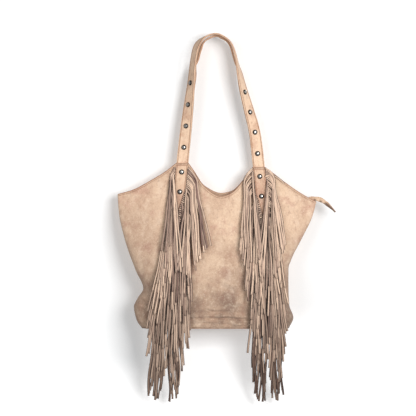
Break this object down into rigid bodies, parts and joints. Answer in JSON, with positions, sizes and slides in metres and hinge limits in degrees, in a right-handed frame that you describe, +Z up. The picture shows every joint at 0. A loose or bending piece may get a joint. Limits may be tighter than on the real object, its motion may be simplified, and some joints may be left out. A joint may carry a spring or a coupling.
{
  "type": "fringed suede bag",
  "caption": "Suede shoulder tote with two studded strap handles, long cut fringe down the front, a boxed base and a zip across its mouth.",
  "frame": {"origin": "the point of a hook under the top of the handles, from which the bag hangs", "axes": "+Z up, +X to the right as seen from the front, -Y out of the fringed front"},
  "size_m": [0.4954, 0.1078, 0.8176],
  "materials": {
    "suede_body": "napped suede, sand coloured with darker mottling",
    "suede_base": "napped suede, creased and rubbed darker",
    "suede_strap": "napped suede, smoothed by handling",
    "suede_fringe": "cut suede strips with raw edges",
    "lining_cotton": "plain woven cotton",
    "zip_tape": "woven tape",
    "zip_metal": "dark antique metal",
    "stud_metal": "dark antique nickel, bright on the crown"
  },
  "bodies": {
    "bag": {"front_panel": "suede_body", "back_panel": "suede_body", "base_panel": "suede_base", "lining": "lining_cotton", "handle_front": "suede_strap", "handle_back": "suede_strap", "patch_front_left": "suede_strap", "patch_front_right": "suede_strap", "patch_back_left": "suede_strap", "patch_back_right": "suede_strap", "fringe_left_outer": "suede_fringe", "fringe_left_inner": "suede_fringe", "fringe_right_inner": "suede_fringe", "fringe_right_outer": "suede_fringe", "zip_tape_front": "zip_tape", "zip_tape_back": "zip_tape", "zip_teeth_front": "zip_metal", "zip_teeth_back": "zip_metal", "zip_tail": "suede_strap", "stud_front_left_1": "stud_metal", "stud_front_left_2": "stud_metal", "stud_front_left_3": "stud_metal", "stud_front_left_4": "stud_metal", "stud_front_left_5": "stud_metal", "stud_front_left_6": "stud_metal", "stud_front_right_1": "stud_metal", "stud_front_right_2": "stud_metal", "stud_front_right_3": "stud_metal", "stud_front_right_4": "stud_metal", "stud_front_right_5": "stud_metal", "stud_front_right_6": "stud_metal", "stud_back_left_1": "stud_metal", "stud_back_left_2": "stud_metal", "stud_back_left_3": "stud_metal", "stud_back_left_4": "stud_metal", "stud_back_left_5": "stud_metal", "stud_back_left_6": "stud_metal", "stud_back_right_1": "stud_metal", "stud_back_right_2": "stud_metal", "stud_back_right_3": "stud_metal", "stud_back_right_4": "stud_metal", "stud_back_right_5": "stud_metal", "stud_back_right_6": "stud_metal"},
    "zip_slider": {"zip_slider": "zip_metal"},
    "zip_pull": {"zip_pull": "zip_metal"}
  },
  "joints": [
    {"name": "zip_slide", "type": "slide", "parent": "bag", "child": "zip_slider", "axis": [1, 0, 0], "range_m": [0, 0.31]},
    {"name": "zip_pull_swing", "type": "hinge", "parent": "zip_slider", "child": "zip_pull", "pos_m": [-0.165, 0, -0.38115], "axis": [0, -1, 0], "range_deg": [0, 165]}
  ]
}
